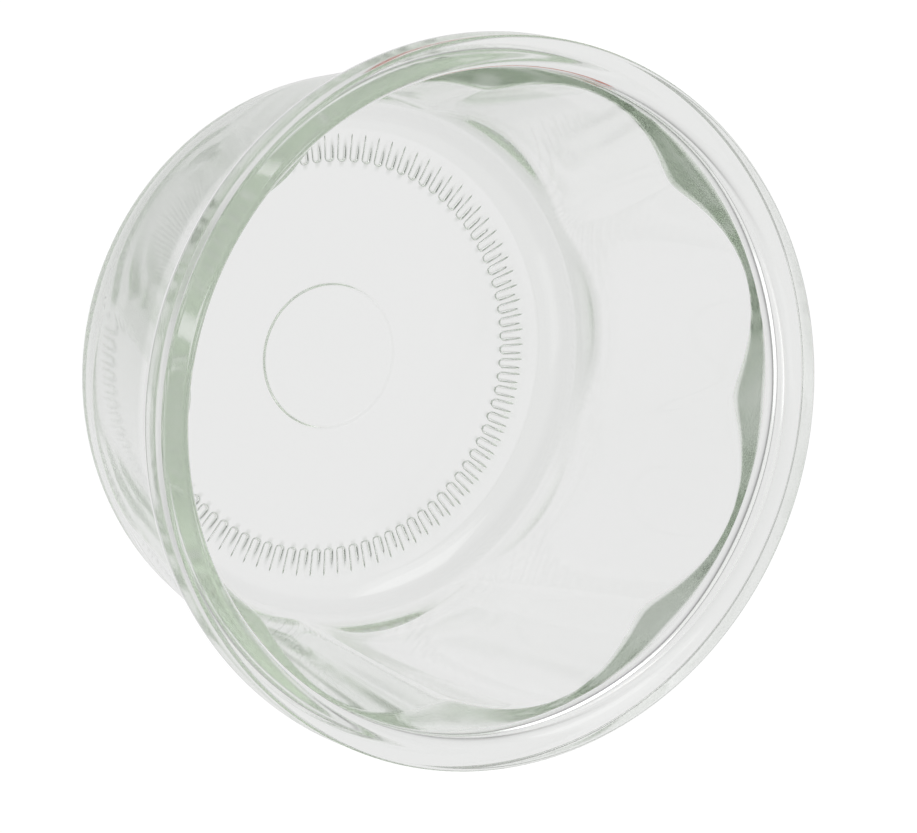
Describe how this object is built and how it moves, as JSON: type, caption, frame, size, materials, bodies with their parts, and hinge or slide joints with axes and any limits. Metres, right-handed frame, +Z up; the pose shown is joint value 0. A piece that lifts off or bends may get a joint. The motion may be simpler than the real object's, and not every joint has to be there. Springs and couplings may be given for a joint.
{
  "type": "fluted canning jar",
  "caption": "Low round glass canning jar with leaning bundt flutes inside and a wide rim, with its glass lid, rubber sealing ring and spring clamps laid beside it.",
  "frame": {"origin": "centre of the jar's flat underside, on the surface that it stands on", "axes": "+Z up along the jar's axis, out of its mouth; the closure lies on the -X side, and -Y faces the picture's camera"},
  "size_m": [0.2403, 0.106, 0.055],
  "materials": {
    "jar_glass": "clear pressed soda-lime glass with a faint green cast in its thick edges",
    "lid_glass": "clear pressed soda-lime glass",
    "ring_rubber": "matt natural rubber",
    "clamp_steel": "bright rolled stainless spring strip"
  },
  "bodies": {
    "jar": {"jar_body": "jar_glass"},
    "lid": {"glass_lid": "lid_glass"},
    "ring": {"sealing_ring": "ring_rubber"},
    "clamp_1": {"spring_clamp_1": "clamp_steel"},
    "clamp_2": {"spring_clamp_2": "clamp_steel"}
  },
  "joints": [
    {"name": "lid_lift", "type": "slide", "parent": "jar", "child": "lid", "axis": [0, 0, 1], "range_m": [0, 0.08]},
    {"name": "ring_lift", "type": "slide", "parent": "lid", "child": "ring", "axis": [0, 0, 1], "range_m": [0, 0.03]},
    {"name": "clamp_1_lift", "type": "slide", "parent": "lid", "child": "clamp_1", "axis": [0, 0, 1], "range_m": [0, 0.05]},
    {"name": "clamp_2_lift", "type": "slide", "parent": "lid", "child": "clamp_2", "axis": [0, 0, 1], "range_m": [0, 0.05]}
  ]
}
